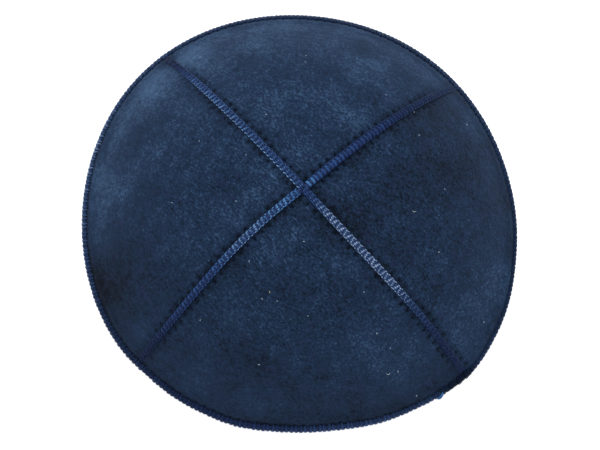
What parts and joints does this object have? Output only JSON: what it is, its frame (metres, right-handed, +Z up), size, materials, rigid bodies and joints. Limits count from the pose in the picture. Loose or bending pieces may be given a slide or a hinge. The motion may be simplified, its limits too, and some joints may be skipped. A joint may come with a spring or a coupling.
{
  "type": "kippah skullcap",
  "caption": "Shallow domed suede skullcap, its panels joined by raised crossing seams and bound by an overlocked rim, open below for the crown of the head.",
  "frame": {"origin": "bottom centre of the bounding box, on the surface that the rim rests on", "axes": "+Z up out of the dome; +X to the right and +Y away from the viewer as the picture shows the cap"},
  "size_m": [0.1776, 0.1776, 0.0426],
  "materials": {
    "suede": "matte napped suede",
    "seam_thread": "satin polyester thread",
    "rim_thread": "satin polyester thread"
  },
  "bodies": {
    "root": {"panel_north": "suede", "panel_east": "suede", "panel_south": "suede", "panel_west": "suede", "long_seam": "seam_thread", "cross_seam_north_east": "seam_thread", "cross_seam_south_west": "seam_thread", "rim_overlock": "rim_thread"}
  },
  "joints": []
}
